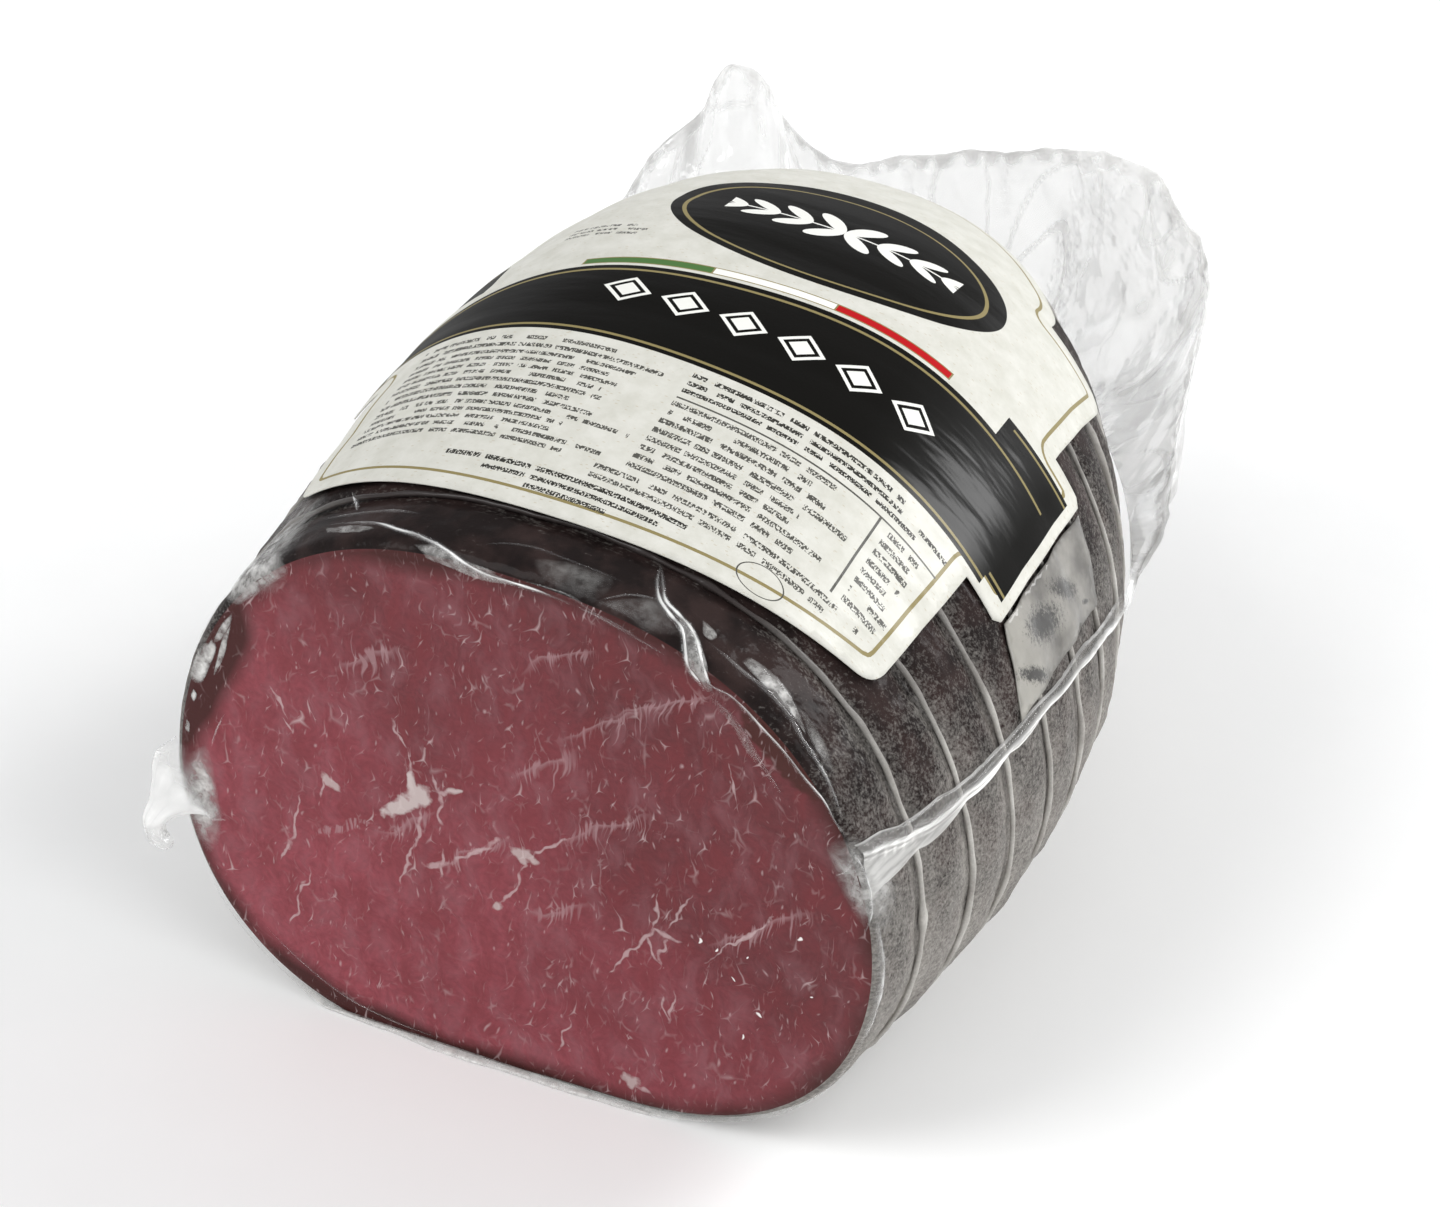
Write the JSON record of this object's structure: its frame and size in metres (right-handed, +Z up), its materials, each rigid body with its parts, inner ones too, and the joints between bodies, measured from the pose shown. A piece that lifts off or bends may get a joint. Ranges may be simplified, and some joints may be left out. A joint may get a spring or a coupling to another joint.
{
  "type": "vacuum-packed half bresaola",
  "caption": "Half of an air-dried beef bresaola lying on its side with an oval cut face, string hoops round its casing, a wrapped die-cut label and a clear shrunk film with a crumpled tail.",
  "frame": {"origin": "a point of the flat underside, where the mount rest is, about the middle of the body's length", "axes": "+Y from the cut face along the body towards its rounded end and the film's tail, +Z up, +X to the right of someone facing the cut face"},
  "size_m": [0.1531, 0.1934, 0.1118],
  "materials": {
    "meat": "moist cured beef, with a dark dry casing round it",
    "string": "dull pale string",
    "label_paper": "printed uncoated paper",
    "film": "clear shrunk film, glossy"
  },
  "bodies": {
    "root": {"bresaola": "meat", "tie_01": "string", "tie_02": "string", "tie_03": "string", "tie_04": "string", "tie_05": "string", "tie_06": "string", "tie_07": "string", "tie_08": "string", "tie_09": "string", "tie_10": "string", "tie_11": "string", "paper_label": "label_paper", "small_tag": "label_paper", "film": "film"}
  },
  "joints": []
}
